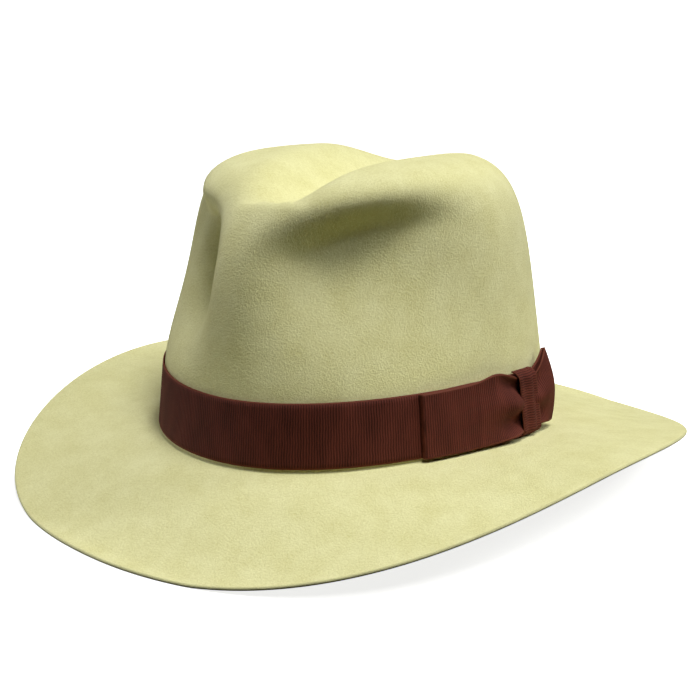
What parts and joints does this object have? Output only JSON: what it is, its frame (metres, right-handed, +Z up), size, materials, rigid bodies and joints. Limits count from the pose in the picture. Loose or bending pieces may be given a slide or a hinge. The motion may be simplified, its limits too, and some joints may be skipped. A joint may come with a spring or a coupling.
{
  "type": "wide-brim hat",
  "caption": "Felt hat with a creased, pinched crown, a wide brim lifted at the sides and snapped down in front, a ribbon band and a flat side bow.",
  "frame": {"origin": "on the floor, under the middle of the hat's length and width", "axes": "+Z up, front of the brim towards -Y, the wearer's left, with the bow, towards +X"},
  "size_m": [0.311, 0.343, 0.1555],
  "materials": {
    "felt": "matt, pale straw-yellow fur felt with a short nap",
    "ribbon": "dark reddish-brown grosgrain with fine upright ribs"
  },
  "bodies": {
    "root": {"felt_body": "felt", "ribbon_band": "ribbon", "bow_loops": "ribbon", "bow_knot": "ribbon"}
  },
  "joints": []
}
